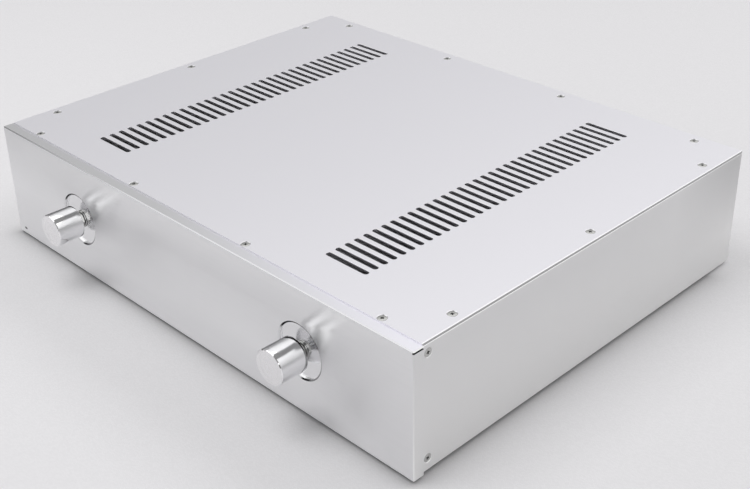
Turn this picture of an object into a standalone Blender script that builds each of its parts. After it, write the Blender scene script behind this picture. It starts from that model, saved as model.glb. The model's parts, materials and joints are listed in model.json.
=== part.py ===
"""Amplifier chassis: an aluminium case with a thick front panel, a slotted cover and two rotary knobs.

Metres, +Z up. The front panel faces -Y. The origin lies on the floor, under the middle of the whole.
"""

import math

import bmesh
import bpy
from mathutils import Matrix, Vector

# The case, outside
PANEL_WIDTH = 0.430
PANEL_HEIGHT = 0.090
PANEL_THICKNESS = 0.008
PANEL_CHAMFER = 0.0006
CASE_DEPTH = 0.340  # front panel's face to the rear edge
SIDE_INSET = 0.0015  # the sides stand back from the panel's ends
COVER_RISE = 0.001  # the cover stands above the panel's top edge
PANEL_DROP = 0.001  # the panel's lower edge hangs below the underside

# Plates, channel sides and rails
COVER_THICKNESS = 0.002
COVER_CHAMFER = 0.0006
BOTTOM_THICKNESS = 0.002
BACK_THICKNESS = 0.003
SIDE_THICKNESS = 0.003
SIDE_CHAMFER = 0.0004
FLANGE_WIDTH = 0.015
FLANGE_THICKNESS = 0.003
RAIL_HEIGHT = 0.012
FRONT_RAIL_DEPTH = 0.010
REAR_RAIL_DEPTH = 0.012

# Ventilation slots, two groups along the cover
SLOTS_IN_GROUP = 34
SLOT_LENGTH = 0.036
SLOT_WIDTH = 0.004
SLOT_GROUP_INSET = 0.0908  # middle of a group to the case's side face
SLOT_ROW_END = 0.02765  # a group's first and last slot to the front and back rows of screws

# Countersunk screws, one size for the cover, the bottom, the sides and the back
SCREW_RADIUS = 0.0015
SCREW_LENGTH = 0.008
HEAD_RADIUS = 0.003
CROSS_SPAN = 0.0032
CROSS_WIDTH = 0.0008
CROSS_DEPTH = 0.0011
CROSS_TAPER = 0.55
ROW_SCREWS = 4  # in the cover's front row, and in its back row
ROW_INSET = 0.0335  # outer screws of those rows to the case's side face
FRONT_ROW_SETBACK = 0.0031  # front row to the cover's front edge
SIDE_ROW_INSET = 0.008  # side row to the case's side face
SIDE_ROW_END = 0.0302  # side row's outer screws to the front and back rows
BACK_SCREW_INSET = 0.0185  # back panel's screws to the case's side face

# Pan-head screws that hold the front panel from behind, through the front rails
PANEL_SCREW_INSET = 0.0635  # to the case's side face
PANEL_SCREW_RADIUS = 0.002
PANEL_SCREW_DEPTH = 0.005  # thread in the panel
PAN_HEAD_RADIUS = 0.004
PAN_HEAD_HEIGHT = 0.0026
PAN_HEAD_DOME = 0.001

# Knobs, their recesses and the controls behind them
KNOB_INSET = 0.095  # knob's axis to the panel's end
KNOB_RADIUS = 0.012
KNOB_LENGTH = 0.020
KNOB_STANDOFF = 0.004  # panel's face to the knob's rear face
KNOB_CHAMFER = 0.0005
RECESS_RADIUS = 0.020
RECESS_DEPTH = 0.002
SHAFT_RADIUS = 0.003
SHAFT_CHAMFER = 0.0004
SHAFT_FLAT = 0.0015  # taken off the round where the grub screw bears
SHAFT_GRIP = 0.014  # shaft inside the knob
SHAFT_SEAT = 0.006  # shaft inside the control's can
GRUB_RADIUS = 0.0015
GRUB_SUNK = 0.0008  # below the knob's round
GRUB_SETBACK = 0.005  # grub screw to the knob's rear face
GRUB_SOCKET = 0.00075  # inscribed radius of its hexagon
GRUB_SOCKET_DEPTH = 0.0015
BUSHING_RADIUS = 0.0035
BUSHING_PROUD = 0.0003  # bushing's end past the nut
CAN_RADIUS = 0.0085
CAN_LENGTH = 0.0095
CAN_CHAMFER = 0.0006
LUG_PITCH = 0.005
LUG_SIZE = (0.002, 0.008, 0.0008)
LUG_SETBACK = 0.003  # behind the can's front face
PEG_RADIUS = 0.0011
PEG_LENGTH = 0.002
PEG_OFFSET = 0.0065  # from the shaft's axis
WASHER_RADIUS = 0.0065
WASHER_THICKNESS = 0.0005
NUT_ACROSS_FLATS = 0.010
NUT_THICKNESS = 0.002
NUT_CHAMFER = 0.0004

# Adhesive feet
FOOT_RADIUS = 0.010
FOOT_HEIGHT = 0.0022
FOOT_CHAMFER = 0.0004
FOOT_INSET = 0.030  # centre to the case's side, front and rear

# Clearances
FIT_GAP = 0.0003  # between faces that meet
THREAD_GAP = 0.0001  # round a screw, a bushing or a gripped shaft
RUNNING_GAP = 0.00005  # round a shaft that turns
OVERCUT = 0.0005  # a cutter past the face that it opens

# Facets of a full turn
KNOB_STEPS = 48
CONTROL_STEPS = 20
SCREW_STEPS = 12
SLOT_END_STEPS = 4
SHARP_ANGLE = math.radians(30)
FLAT_PROFILE = 0.5  # a bevel's profile that leaves it straight

# Levels, from the floor up
UNDERSIDE_Z = FOOT_HEIGHT + FIT_GAP
PANEL_BOTTOM_Z = UNDERSIDE_Z - PANEL_DROP
PANEL_MIDDLE_Z = PANEL_BOTTOM_Z + PANEL_HEIGHT / 2
COVER_TOP_Z = PANEL_BOTTOM_Z + PANEL_HEIGHT + COVER_RISE
INNER_BOTTOM_Z = UNDERSIDE_Z + BOTTOM_THICKNESS + FIT_GAP
INNER_TOP_Z = COVER_TOP_Z - COVER_THICKNESS - FIT_GAP
BOTTOM_RAIL_Z = INNER_BOTTOM_Z + RAIL_HEIGHT / 2
TOP_RAIL_Z = INNER_TOP_Z - RAIL_HEIGHT / 2

# Places from front to rear
FRONT_Y = (KNOB_STANDOFF + KNOB_LENGTH - CASE_DEPTH) / 2
REAR_Y = FRONT_Y + CASE_DEPTH
CASE_FRONT_Y = FRONT_Y + PANEL_THICKNESS + FIT_GAP
FRONT_RAIL_Y = CASE_FRONT_Y + FRONT_RAIL_DEPTH / 2
FRONT_RAIL_BACK_Y = CASE_FRONT_Y + FRONT_RAIL_DEPTH
REAR_RAIL_BACK_Y = REAR_Y - BACK_THICKNESS - FIT_GAP
REAR_RAIL_Y = REAR_RAIL_BACK_Y - REAR_RAIL_DEPTH / 2
REAR_RAIL_FRONT_Y = REAR_RAIL_BACK_Y - REAR_RAIL_DEPTH
FRONT_ROW_Y = CASE_FRONT_Y + FRONT_ROW_SETBACK
PATTERN_MIDDLE_Y = (FRONT_ROW_Y + REAR_RAIL_Y) / 2

# Places from the middle outwards
SIDE_X = PANEL_WIDTH / 2 - SIDE_INSET
SIDE_INNER_X = SIDE_X - SIDE_THICKNESS
RAIL_END_X = SIDE_INNER_X - FIT_GAP
SIDE_ROW_X = SIDE_X - SIDE_ROW_INSET
ROW_END_X = SIDE_X - ROW_INSET
BACK_SCREW_X = SIDE_X - BACK_SCREW_INSET
PANEL_SCREW_X = SIDE_X - PANEL_SCREW_INSET
SLOT_GROUP_X = SIDE_X - SLOT_GROUP_INSET
KNOB_X = PANEL_WIDTH / 2 - KNOB_INSET

# Along a control's axis, outwards from the panel's face
WASHER_BACK = FIT_GAP - RECESS_DEPTH
NUT_BACK = WASHER_BACK + WASHER_THICKNESS + FIT_GAP
BUSHING_END = NUT_BACK + NUT_THICKNESS + BUSHING_PROUD
CAN_FRONT = -PANEL_THICKNESS - FIT_GAP
SHAFT_TIP = KNOB_STANDOFF + SHAFT_GRIP
SHAFT_END = CAN_FRONT - SHAFT_SEAT
GRUB_PLACE = KNOB_STANDOFF + GRUB_SETBACK

# Rotations that turn a piece's own +Z to face a side of the case
FACE_UP = Matrix.Identity(4)
FACE_DOWN = Matrix.Rotation(math.pi, 4, "X")
FACE_FRONT = Matrix.Rotation(math.pi / 2, 4, "X")
FACE_BACK = Matrix.Rotation(-math.pi / 2, 4, "X")
FACE_RIGHT = Matrix.Rotation(math.pi / 2, 4, "Y")
FACE_LEFT = Matrix.Rotation(-math.pi / 2, 4, "Y")

SIDES = {"left": -1, "right": 1}
ENDS = {"top": TOP_RAIL_Z, "bottom": BOTTOM_RAIL_Z}


# Materials


def make_material(name, colour, roughness, metallic):
    material = bpy.data.materials.new(name)
    material.use_nodes = True
    shader = material.node_tree.nodes["Principled BSDF"]
    shader.inputs["Base Color"].default_value = (*colour, 1)
    shader.inputs["Roughness"].default_value = roughness
    shader.inputs["Metallic"].default_value = metallic
    return material


def make_materials():
    """One material for each finish on the chassis."""
    return {
        "brushed": make_material("brushed_aluminium", (0.80, 0.80, 0.81), 0.30, 1),
        "blasted": make_material("blasted_aluminium", (0.78, 0.78, 0.80), 0.45, 1),
        "satin": make_material("satin_aluminium", (0.76, 0.76, 0.77), 0.38, 1),
        "mill": make_material("mill_finish_aluminium", (0.70, 0.70, 0.71), 0.35, 1),
        "polished": make_material("polished_aluminium", (0.90, 0.90, 0.91), 0.08, 1),
        "screw": make_material("zinc_plated_steel", (0.62, 0.62, 0.64), 0.28, 1),
        "grub": make_material("black_oxide_steel", (0.05, 0.05, 0.055), 0.45, 1),
        "shaft": make_material("turned_steel", (0.66, 0.66, 0.67), 0.22, 1),
        "can": make_material("pressed_steel_can", (0.50, 0.50, 0.51), 0.40, 1),
        "nut": make_material("nickel_plated_brass", (0.72, 0.70, 0.66), 0.20, 1),
        "rubber": make_material("black_rubber", (0.02, 0.02, 0.02), 0.80, 0),
    }


# Shapes, each as a bmesh


def box_between(low, high):
    """A box from its lowest corner to its highest."""
    low, high = Vector(low), Vector(high)
    bm = bmesh.new()
    size = Matrix.Diagonal((high - low).to_4d())
    bmesh.ops.create_cube(bm, size=1, matrix=Matrix.Translation((low + high) / 2) @ size)
    return bm


def prism(outline, height):
    """The outline's points (x, y), extruded from z = 0 to the height."""
    bm = bmesh.new()
    base = bm.faces.new([bm.verts.new((x, y, 0)) for x, y in outline])
    extruded = bmesh.ops.extrude_face_region(bm, geom=[base])["geom"]
    top = [item for item in extruded if isinstance(item, bmesh.types.BMVert)]
    bmesh.ops.translate(bm, vec=(0, 0, height), verts=top)
    bmesh.ops.recalc_face_normals(bm, faces=bm.faces)
    return bm


def turned(profile, steps):
    """A solid of revolution about Z, from points (radius, height).

    The profile runs from the axis round to the axis, or closes on itself where it stays clear of it.
    """
    bm = bmesh.new()
    points = [bm.verts.new((radius, 0, height)) for radius, height in profile]
    pairs = list(zip(points, points[1:]))
    if profile[0][0] > 0:
        pairs.append((points[-1], points[0]))
    edges = [bm.edges.new(pair) for pair in pairs]
    bmesh.ops.spin(
        bm,
        geom=points + edges,
        axis=(0, 0, 1),
        cent=(0, 0, 0),
        angle=math.tau,
        steps=steps,
        use_merge=True,
    )
    bmesh.ops.remove_doubles(bm, verts=bm.verts, dist=1e-6)
    bmesh.ops.recalc_face_normals(bm, faces=bm.faces)
    return bm


def slot_outline(length, width):
    """A slot along X with round ends."""
    radius = width / 2
    reach = length / 2 - radius
    angles = [math.pi * step / SLOT_END_STEPS for step in range(SLOT_END_STEPS + 1)]
    right = [(reach + radius * math.sin(angle), -radius * math.cos(angle)) for angle in angles]
    return right + [(-x, -y) for x, y in right]


def cross_outline(span, width):
    """A plus sign, one arm and one inner corner for each quarter turn."""
    arm = [Vector((span / 2, -width / 2)), Vector((span / 2, width / 2)), Vector((width / 2, width / 2))]
    turns = [Matrix.Rotation(quarter * math.pi / 2, 2) for quarter in range(4)]
    return [tuple(turn @ point) for turn in turns for point in arm]


def hexagon_outline(inscribed):
    """A hexagon with flats at this distance from its middle."""
    corner = inscribed / math.cos(math.pi / 6)
    angles = [math.pi / 3 * side for side in range(6)]
    return [(corner * math.cos(angle), corner * math.sin(angle)) for angle in angles]


def bore_round(radius, steps):
    """Corner radius of a faceted bore whose flats just clear a round of this radius."""
    return radius / math.cos(math.pi / steps)


# Objects


def shade(mesh):
    mesh.shade_smooth()
    mesh.set_sharp_from_angle(angle=SHARP_ANGLE)


def mesh_from(bm, name, material=None):
    mesh = bpy.data.meshes.new(name)
    bm.to_mesh(mesh)
    bm.free()
    shade(mesh)
    if material:
        mesh.materials.append(material)
    return mesh


def place(name, mesh, parent=None, matrix=FACE_UP):
    """An object of this mesh. The matrix is in its parent's space."""
    piece = bpy.data.objects.new(name, mesh)
    bpy.context.scene.collection.objects.link(piece)
    piece.parent = parent
    piece.matrix_local = matrix
    return piece


def empty_at(name, matrix, parent=None):
    axis = place(name, None, parent, matrix)
    axis.empty_display_size = KNOB_LENGTH
    return axis


def cutter_of(name, bm, places=(FACE_UP,)):
    """A cutter that holds one copy of the shape at each place, hidden from the render."""
    copy = bpy.data.meshes.new(name)
    bm.to_mesh(copy)
    bm.free()
    together = bmesh.new()
    for matrix in places:
        first = len(together.verts)
        together.from_mesh(copy)
        together.verts.ensure_lookup_table()
        bmesh.ops.transform(together, matrix=matrix, verts=together.verts[first:])
    bpy.data.meshes.remove(copy)
    cutter = place(name, mesh_from(together, name))
    cutter.hide_render = True
    cutter.display_type = "WIRE"
    return cutter


def combine(piece, tools, operation="DIFFERENCE"):
    """Applies a Boolean for each tool, and shades the new edges."""
    for tool in tools:
        modifier = piece.modifiers.new(tool.name, "BOOLEAN")
        modifier.operation = operation
        modifier.object = tool
    graph = bpy.context.evaluated_depsgraph_get()
    before = piece.data
    name = before.name
    shaped = bpy.data.meshes.new_from_object(piece.evaluated_get(graph))
    piece.modifiers.clear()
    piece.data = shaped
    bpy.data.meshes.remove(before)
    shaped.name = name
    shade(shaped)
    return piece


def at(x, y, z, facing=FACE_UP):
    return Matrix.Translation((x, y, z)) @ facing


# Where every screw goes


def cover_screw_places():
    """Front and back rows into the rails, and a row of three into each side's flange."""
    places = {}
    pitch = 2 * ROW_END_X / (ROW_SCREWS - 1)
    for number in range(ROW_SCREWS):
        x = number * pitch - ROW_END_X
        places[f"cover_screw_front_{number + 1}"] = at(x, FRONT_ROW_Y, COVER_TOP_Z)
        places[f"cover_screw_back_{number + 1}"] = at(x, REAR_RAIL_Y, COVER_TOP_Z)
    side_rows = (FRONT_ROW_Y + SIDE_ROW_END, PATTERN_MIDDLE_Y, REAR_RAIL_Y - SIDE_ROW_END)
    for side, sign in SIDES.items():
        for number, y in enumerate(side_rows, 1):
            places[f"cover_screw_{side}_{number}"] = at(sign * SIDE_ROW_X, y, COVER_TOP_Z)
    return places


def bottom_screw_places():
    """Into the two bottom rails and into the middle of each bottom flange."""
    places = {}
    for side, sign in SIDES.items():
        x = sign * ROW_END_X
        places[f"bottom_screw_front_{side}"] = at(x, FRONT_RAIL_Y, UNDERSIDE_Z, FACE_DOWN)
        places[f"bottom_screw_back_{side}"] = at(x, REAR_RAIL_Y, UNDERSIDE_Z, FACE_DOWN)
        x = sign * SIDE_ROW_X
        places[f"bottom_screw_middle_{side}"] = at(x, PATTERN_MIDDLE_Y, UNDERSIDE_Z, FACE_DOWN)
    return places


def side_screw_places():
    """Through the sides into the ends of the front rails."""
    facing = {"left": FACE_LEFT, "right": FACE_RIGHT}
    return {
        f"side_screw_{side}_{end}": at(sign * SIDE_X, FRONT_RAIL_Y, z, facing[side])
        for side, sign in SIDES.items()
        for end, z in ENDS.items()
    }


def back_screw_places():
    """Through the back panel into the rear rails."""
    return {
        f"back_screw_{side}_{end}": at(sign * BACK_SCREW_X, REAR_Y, z, FACE_BACK)
        for side, sign in SIDES.items()
        for end, z in ENDS.items()
    }


def panel_screw_places():
    """Through the front rails into the front panel, with the heads inside the case."""
    return {
        f"panel_screw_{side}_{end}": at(sign * PANEL_SCREW_X, FRONT_RAIL_BACK_Y, z, FACE_BACK)
        for side, sign in SIDES.items()
        for end, z in ENDS.items()
    }


def control_places():
    """Each control's axis, from the panel's face outwards."""
    return {side: at(sign * KNOB_X, FRONT_Y, PANEL_MIDDLE_Z, FACE_FRONT) for side, sign in SIDES.items()}


# Screws and the holes that they need


def cross_recess(top):
    """A tapered cross driven into a head whose top is at this height."""
    bm = prism(cross_outline(CROSS_SPAN, CROSS_WIDTH), CROSS_DEPTH + OVERCUT)
    floor = [vert for vert in bm.verts if vert.co.z < CROSS_DEPTH / 2]
    bmesh.ops.scale(bm, vec=(CROSS_TAPER, CROSS_TAPER, 1), verts=floor)
    bmesh.ops.translate(bm, vec=(0, 0, top - CROSS_DEPTH), verts=bm.verts)
    return cutter_of("cross_recess", bm)


def countersunk_mesh(material):
    """A flush screw: its head's top is at z = 0 and its end points down."""
    profile = [
        (0, 0),
        (HEAD_RADIUS, 0),
        (SCREW_RADIUS, SCREW_RADIUS - HEAD_RADIUS),
        (SCREW_RADIUS, -SCREW_LENGTH),
        (0, -SCREW_LENGTH),
    ]
    blank = place("countersunk_screw", mesh_from(turned(profile, SCREW_STEPS), "countersunk_screw", material))
    mesh = combine(blank, [cross_recess(0)]).data
    bpy.data.objects.remove(blank)
    return mesh


def countersunk_drill(name, places):
    """Countersink and thread hole for a flush screw, through every piece that it joins."""
    sink = HEAD_RADIUS + FIT_GAP
    hole = SCREW_RADIUS + THREAD_GAP
    profile = [
        (0, OVERCUT),
        (sink, OVERCUT),
        (sink, 0),
        (hole, hole - sink),
        (hole, -SCREW_LENGTH - FIT_GAP),
        (0, -SCREW_LENGTH - FIT_GAP),
    ]
    return cutter_of(name, turned(profile, SCREW_STEPS), places)


def pan_head_mesh(material):
    """A screw whose head stands on the rail: the rail's face is at z = 0."""
    end = -FRONT_RAIL_DEPTH - FIT_GAP - PANEL_SCREW_DEPTH
    top = FIT_GAP + PAN_HEAD_HEIGHT
    profile = [
        (0, top),
        (PAN_HEAD_RADIUS - PAN_HEAD_DOME, top),
        (PAN_HEAD_RADIUS, top - PAN_HEAD_DOME),
        (PAN_HEAD_RADIUS, FIT_GAP),
        (PANEL_SCREW_RADIUS, FIT_GAP),
        (PANEL_SCREW_RADIUS, end),
        (0, end),
    ]
    blank = place("pan_head_screw", mesh_from(turned(profile, SCREW_STEPS), "pan_head_screw", material))
    mesh = combine(blank, [cross_recess(top)]).data
    bpy.data.objects.remove(blank)
    return mesh


def pan_head_drill(name, places):
    """One straight hole through the rail and into the panel's back."""
    hole = PANEL_SCREW_RADIUS + THREAD_GAP
    end = -FRONT_RAIL_DEPTH - FIT_GAP - PANEL_SCREW_DEPTH - FIT_GAP
    profile = [(0, OVERCUT), (hole, OVERCUT), (hole, end), (0, end)]
    return cutter_of(name, turned(profile, SCREW_STEPS), places)


def make_drills():
    return {
        "cover": countersunk_drill("cover_screw_drill", cover_screw_places().values()),
        "bottom": countersunk_drill("bottom_screw_drill", bottom_screw_places().values()),
        "side": countersunk_drill("side_screw_drill", side_screw_places().values()),
        "back": countersunk_drill("back_screw_drill", back_screw_places().values()),
        "panel": pan_head_drill("panel_screw_drill", panel_screw_places().values()),
    }


def make_screws(chassis, materials):
    flush = countersunk_mesh(materials["screw"])
    for group in (cover_screw_places, bottom_screw_places, side_screw_places, back_screw_places):
        for name, matrix in group().items():
            place(name, flush, chassis, matrix)
    pan = pan_head_mesh(materials["screw"])
    for name, matrix in panel_screw_places().items():
        place(name, pan, chassis, matrix)


# The case's plates, sides and rails


def plate(name, low, high, chassis, material):
    """A flat plate whose origin is at its middle."""
    low, high = Vector(low), Vector(high)
    middle = (low + high) / 2
    mesh = mesh_from(box_between(low - middle, high - middle), name, material)
    return place(name, mesh, chassis, Matrix.Translation(middle))


def chamfer(piece, width, chosen):
    """Cuts back the edges that the test picks."""
    bm = bmesh.new()
    bm.from_mesh(piece.data)
    edges = [edge for edge in bm.edges if chosen(edge)]
    bmesh.ops.bevel(
        bm, geom=edges, offset=width, segments=1, profile=FLAT_PROFILE, affect="EDGES", material=-1
    )
    bm.to_mesh(piece.data)
    bm.free()
    shade(piece.data)


def make_front_panel(chassis, materials, drills):
    """Thick panel with a shallow round recess, a bushing hole and a peg hole for each control."""
    low = (-PANEL_WIDTH / 2, FRONT_Y, PANEL_BOTTOM_Z)
    high = (PANEL_WIDTH / 2, FRONT_Y + PANEL_THICKNESS, PANEL_BOTTOM_Z + PANEL_HEIGHT)
    panel = plate("front_panel", low, high, chassis, materials["brushed"])
    chamfer(panel, PANEL_CHAMFER, lambda edge: any(vert.co.y < 0 for vert in edge.verts))
    bushing_hole = BUSHING_RADIUS + THREAD_GAP
    through = -PANEL_THICKNESS - OVERCUT
    recess = [(0, OVERCUT), (RECESS_RADIUS, OVERCUT), (RECESS_RADIUS, -RECESS_DEPTH), (0, -RECESS_DEPTH)]
    bushing = [(0, OVERCUT), (bushing_hole, OVERCUT), (bushing_hole, through), (0, through)]
    peg_radius = PEG_RADIUS + FIT_GAP
    peg_end = -PANEL_THICKNESS + PEG_LENGTH
    peg = [(0, peg_end), (peg_radius, peg_end), (peg_radius, through), (0, through)]
    axes = control_places().values()
    peg_places = [axis @ Matrix.Translation((0, PEG_OFFSET, 0)) for axis in axes]
    tools = [
        cutter_of("recess_cutter", turned(recess, KNOB_STEPS), axes),
        cutter_of("bushing_cutter", turned(bushing, CONTROL_STEPS), axes),
        cutter_of("peg_cutter", turned(peg, SCREW_STEPS), peg_places),
    ]
    return combine(panel, [*tools, drills["panel"]])


def slot_cutter():
    """Both groups of ventilation slots."""
    depth = COVER_THICKNESS + 2 * OVERCUT
    first_y = FRONT_ROW_Y + SLOT_ROW_END
    last_y = REAR_RAIL_Y - SLOT_ROW_END
    pitch = (last_y - first_y) / (SLOTS_IN_GROUP - 1)
    low_z = COVER_TOP_Z - COVER_THICKNESS - OVERCUT
    places = [
        at(sign * SLOT_GROUP_X, first_y + number * pitch, low_z)
        for sign in SIDES.values()
        for number in range(SLOTS_IN_GROUP)
    ]
    return cutter_of("slot_cutter", prism(slot_outline(SLOT_LENGTH, SLOT_WIDTH), depth), places)


def make_top_cover(chassis, materials, drills):
    """Sheet cover with a bright-cut edge, countersunk all round, with two groups of slots."""
    low = (-SIDE_X, CASE_FRONT_Y, COVER_TOP_Z - COVER_THICKNESS)
    high = (SIDE_X, REAR_Y, COVER_TOP_Z)
    cover = plate("top_cover", low, high, chassis, materials["blasted"])
    chamfer(cover, COVER_CHAMFER, lambda edge: all(vert.co.z > 0 for vert in edge.verts))
    return combine(cover, [slot_cutter(), drills["cover"]])


def make_bottom_plate(chassis, materials, drills):
    """Plain plate between the sides."""
    low = (-RAIL_END_X, CASE_FRONT_Y, UNDERSIDE_Z)
    high = (RAIL_END_X, REAR_Y, UNDERSIDE_Z + BOTTOM_THICKNESS)
    bottom = plate("bottom_plate", low, high, chassis, materials["mill"])
    return combine(bottom, [drills["bottom"]])


def make_back_panel(chassis, materials, drills):
    """Plain panel between the sides, under the cover."""
    low = (-RAIL_END_X, REAR_Y - BACK_THICKNESS, INNER_BOTTOM_Z)
    high = (RAIL_END_X, REAR_Y, INNER_TOP_Z)
    back = plate("back_panel", low, high, chassis, materials["satin"])
    return combine(back, [drills["back"]])


def channel_outline():
    """Section of the right side: a web with a flange at the top and one over the bottom plate."""
    tip = SIDE_X - FLANGE_WIDTH
    return [
        (SIDE_X, UNDERSIDE_Z),
        (SIDE_X, INNER_TOP_Z - SIDE_CHAMFER),
        (SIDE_X - SIDE_CHAMFER, INNER_TOP_Z),
        (tip, INNER_TOP_Z),
        (tip, INNER_TOP_Z - FLANGE_THICKNESS),
        (SIDE_INNER_X, INNER_TOP_Z - FLANGE_THICKNESS),
        (SIDE_INNER_X, INNER_BOTTOM_Z + FLANGE_THICKNESS),
        (tip, INNER_BOTTOM_Z + FLANGE_THICKNESS),
        (tip, INNER_BOTTOM_Z),
        (SIDE_INNER_X, INNER_BOTTOM_Z),
        (SIDE_INNER_X, UNDERSIDE_Z),
    ]


def flange_notches(sign):
    """What is milled off the flanges at both ends, so that the rails reach the web."""
    inner = sign * SIDE_INNER_X
    tip = sign * (SIDE_X - FLANGE_WIDTH - OVERCUT)
    low_z = INNER_BOTTOM_Z - OVERCUT
    high_z = INNER_TOP_Z + OVERCUT
    spans = {
        "front": (CASE_FRONT_Y - OVERCUT, FRONT_RAIL_BACK_Y + FIT_GAP),
        "rear": (REAR_RAIL_FRONT_Y - FIT_GAP, REAR_Y + OVERCUT),
    }
    return [
        cutter_of(
            f"{end}_notch_cutter",
            box_between((min(inner, tip), low_y, low_z), (max(inner, tip), high_y, high_z)),
        )
        for end, (low_y, high_y) in spans.items()
    ]


def make_side_panel(side, chassis, materials, drills):
    """Channel-section side, notched for the rails and threaded for the cover and the bottom."""
    sign = SIDES[side]
    middle = Vector((sign * SIDE_X, (CASE_FRONT_Y + REAR_Y) / 2, (INNER_TOP_Z + UNDERSIDE_Z) / 2))
    section = [(sign * (x - SIDE_X), z - middle.z) for x, z in channel_outline()]
    bm = prism(section, REAR_Y - CASE_FRONT_Y)
    lying = Matrix.Translation((0, REAR_Y - middle.y, 0)) @ FACE_FRONT
    bmesh.ops.transform(bm, matrix=lying, verts=bm.verts)
    mesh = mesh_from(bm, f"{side}_side_panel", materials["satin"])
    panel = place(f"{side}_side_panel", mesh, chassis, Matrix.Translation(middle))
    return combine(panel, [*flange_notches(sign), drills["cover"], drills["bottom"], drills["side"]])


def make_rails(chassis, materials, drills):
    """Four square bars across the case, which the plates are screwed to."""
    depths = {"front": (CASE_FRONT_Y, FRONT_RAIL_BACK_Y), "rear": (REAR_RAIL_FRONT_Y, REAR_RAIL_BACK_Y)}
    holes = {"front": ["side", "panel"], "rear": ["back"]}
    skins = {"top": "cover", "bottom": "bottom"}
    for end, (front, back) in depths.items():
        for level, z in ENDS.items():
            low = (-RAIL_END_X, front, z - RAIL_HEIGHT / 2)
            high = (RAIL_END_X, back, z + RAIL_HEIGHT / 2)
            rail = plate(f"{end}_{level}_rail", low, high, chassis, materials["mill"])
            combine(rail, [drills[name] for name in (skins[level], *holes[end])])


# The controls


def knob_mesh(name, material):
    """Solid turned knob with a blind bore and a radial thread for its grub screw."""
    front = KNOB_STANDOFF + KNOB_LENGTH
    bore = SHAFT_RADIUS + THREAD_GAP
    bore_end = SHAFT_TIP + FIT_GAP
    profile = [
        (0, front),
        (KNOB_RADIUS - KNOB_CHAMFER, front),
        (KNOB_RADIUS, front - KNOB_CHAMFER),
        (KNOB_RADIUS, KNOB_STANDOFF + KNOB_CHAMFER),
        (KNOB_RADIUS - KNOB_CHAMFER, KNOB_STANDOFF),
        (bore, KNOB_STANDOFF),
        (bore, bore_end),
        (0, bore_end),
    ]
    return mesh_from(turned(profile, KNOB_STEPS), name, material)


def grub_place():
    """The grub screw's axis in the knob: its own +Z points away from the shaft, down at rest."""
    return Matrix.Translation((0, 0, GRUB_PLACE)) @ FACE_FRONT


def grub_mesh(material):
    """Headless screw from the shaft's flat to just under the knob's round, with a hexagon socket."""
    inner = SHAFT_RADIUS - SHAFT_FLAT + FIT_GAP
    outer = KNOB_RADIUS - GRUB_SUNK
    profile = [(0, inner), (GRUB_RADIUS, inner), (GRUB_RADIUS, outer), (0, outer)]
    blank = place("grub_screw", mesh_from(turned(profile, SCREW_STEPS), "grub_screw", material))
    socket = prism(hexagon_outline(GRUB_SOCKET), GRUB_SOCKET_DEPTH + OVERCUT)
    bmesh.ops.translate(socket, vec=(0, 0, outer - GRUB_SOCKET_DEPTH), verts=socket.verts)
    mesh = combine(blank, [cutter_of("grub_socket", socket)]).data
    bpy.data.objects.remove(blank)
    return mesh


def shaft_mesh(name, material):
    """Round shaft from inside the can to inside the knob, with a flat at the knob's end."""
    profile = [
        (0, SHAFT_TIP),
        (SHAFT_RADIUS - SHAFT_CHAMFER, SHAFT_TIP),
        (SHAFT_RADIUS, SHAFT_TIP - SHAFT_CHAMFER),
        (SHAFT_RADIUS, SHAFT_END),
        (0, SHAFT_END),
    ]
    return mesh_from(turned(profile, CONTROL_STEPS), name, material)


def can_mesh_blank(name, material):
    """Pressed can and threaded bushing, bored for the shaft."""
    bore = bore_round(SHAFT_RADIUS + RUNNING_GAP, CONTROL_STEPS)
    can_back = CAN_FRONT - CAN_LENGTH
    bore_end = SHAFT_END - FIT_GAP
    profile = [
        (0, can_back),
        (CAN_RADIUS - CAN_CHAMFER, can_back),
        (CAN_RADIUS, can_back + CAN_CHAMFER),
        (CAN_RADIUS, CAN_FRONT),
        (BUSHING_RADIUS, CAN_FRONT),
        (BUSHING_RADIUS, BUSHING_END),
        (bore, BUSHING_END),
        (bore, bore_end),
        (0, bore_end),
    ]
    return mesh_from(turned(profile, CONTROL_STEPS), name, material)


def can_extras():
    """Three solder lugs under the can, and the peg that keeps it from turning in the panel."""
    width, drop, thickness = LUG_SIZE
    root = CAN_RADIUS - drop / 2
    lug_z = CAN_FRONT - LUG_SETBACK
    lug = box_between((-width / 2, -root - drop, lug_z - thickness), (width / 2, -root, lug_z))
    lug_places = [Matrix.Translation((number * LUG_PITCH, 0, 0)) for number in (-1, 0, 1)]
    peg_end = CAN_FRONT + PEG_LENGTH
    peg_root = CAN_FRONT - OVERCUT
    peg_profile = [(0, peg_end), (PEG_RADIUS, peg_end), (PEG_RADIUS, peg_root), (0, peg_root)]
    peg_places = [Matrix.Translation((0, PEG_OFFSET, 0))]
    return [
        cutter_of("lugs", lug, lug_places),
        cutter_of("peg", turned(peg_profile, SCREW_STEPS), peg_places),
    ]


def ring_mesh(name, outer, back, thickness, material):
    """A flat ring round the bushing."""
    bore = BUSHING_RADIUS + THREAD_GAP
    front = back + thickness
    profile = [(bore, back), (outer, back), (outer, front), (bore, front)]
    return mesh_from(turned(profile, CONTROL_STEPS), name, material)


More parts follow.
